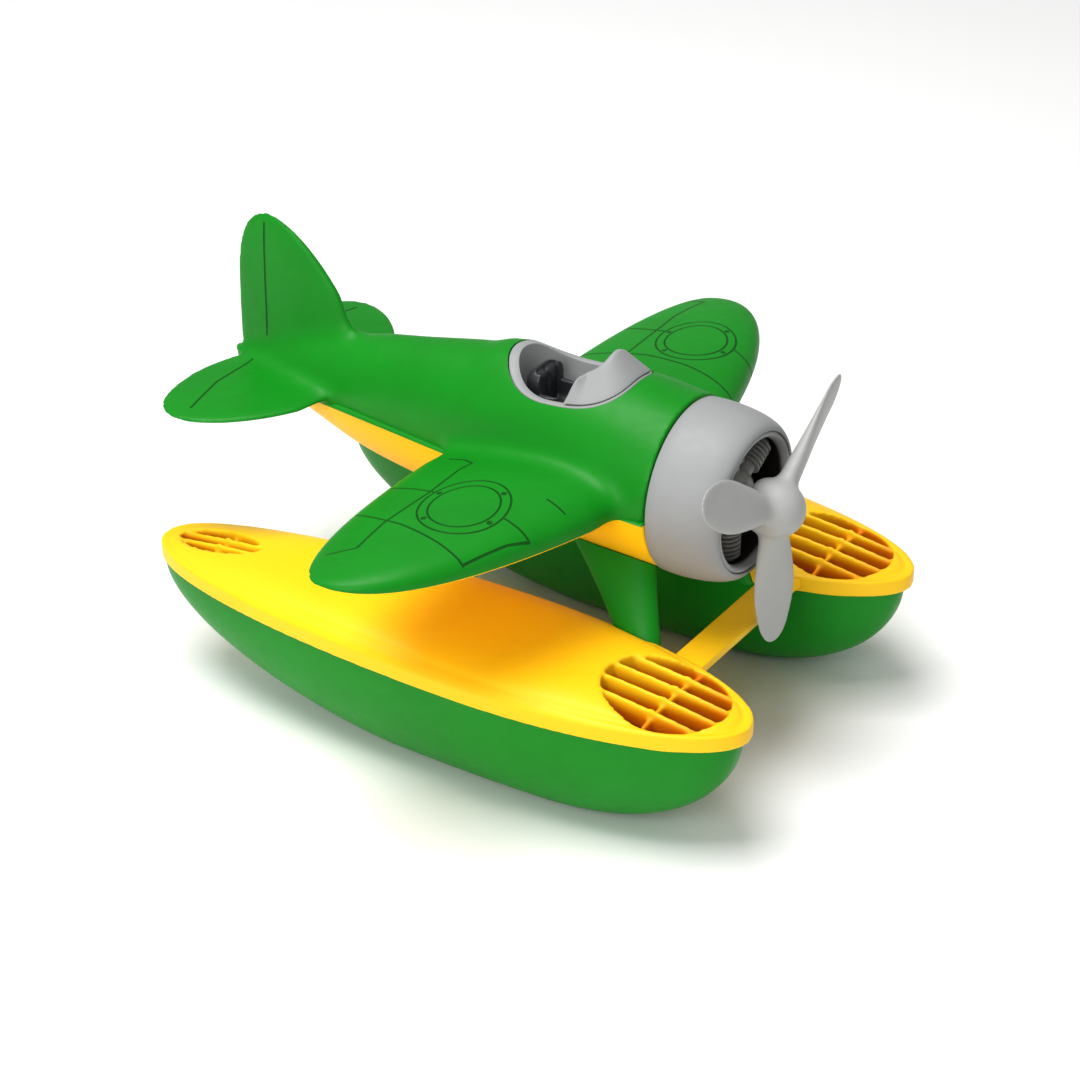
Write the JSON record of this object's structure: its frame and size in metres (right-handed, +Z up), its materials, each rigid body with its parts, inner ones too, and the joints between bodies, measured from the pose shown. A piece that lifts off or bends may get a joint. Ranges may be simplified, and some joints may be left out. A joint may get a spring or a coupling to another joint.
{
  "type": "toy floatplane",
  "caption": "Toy floatplane on hollow floats with grilled decks, rounded low wings, open cockpit with seat and screen, radial engine in a cowl and a propeller that turns.",
  "frame": {"origin": "on the floor, under the middle of the bounding box", "axes": "+X towards the nose, +Y to port, +Z up"},
  "size_m": [0.2386, 0.2406, 0.1445],
  "materials": {
    "green_plastic": "satin moulded plastic",
    "yellow_plastic": "satin moulded plastic",
    "grey_plastic": "satin moulded plastic",
    "dark_plastic": "matt moulded plastic"
  },
  "bodies": {
    "airframe": {"upper_shell": "green_plastic", "lower_shell": "yellow_plastic", "float_hull_left": "green_plastic", "float_hull_right": "green_plastic", "float_deck_left": "yellow_plastic", "float_deck_right": "yellow_plastic", "crossbar_front": "yellow_plastic", "crossbar_rear": "yellow_plastic", "strut_left": "green_plastic", "strut_right": "green_plastic", "cockpit_tub": "grey_plastic", "seat": "dark_plastic", "windscreen": "grey_plastic", "cowl": "grey_plastic", "radial_engine": "grey_plastic", "propeller_axle": "grey_plastic"},
    "propeller": {"propeller": "grey_plastic"}
  },
  "joints": [
    {"name": "propeller_spin", "type": "hinge", "parent": "airframe", "child": "propeller", "pos_m": [0.0955, 0, 0.0893], "axis": [1, 0, 0], "continuous": true}
  ]
}
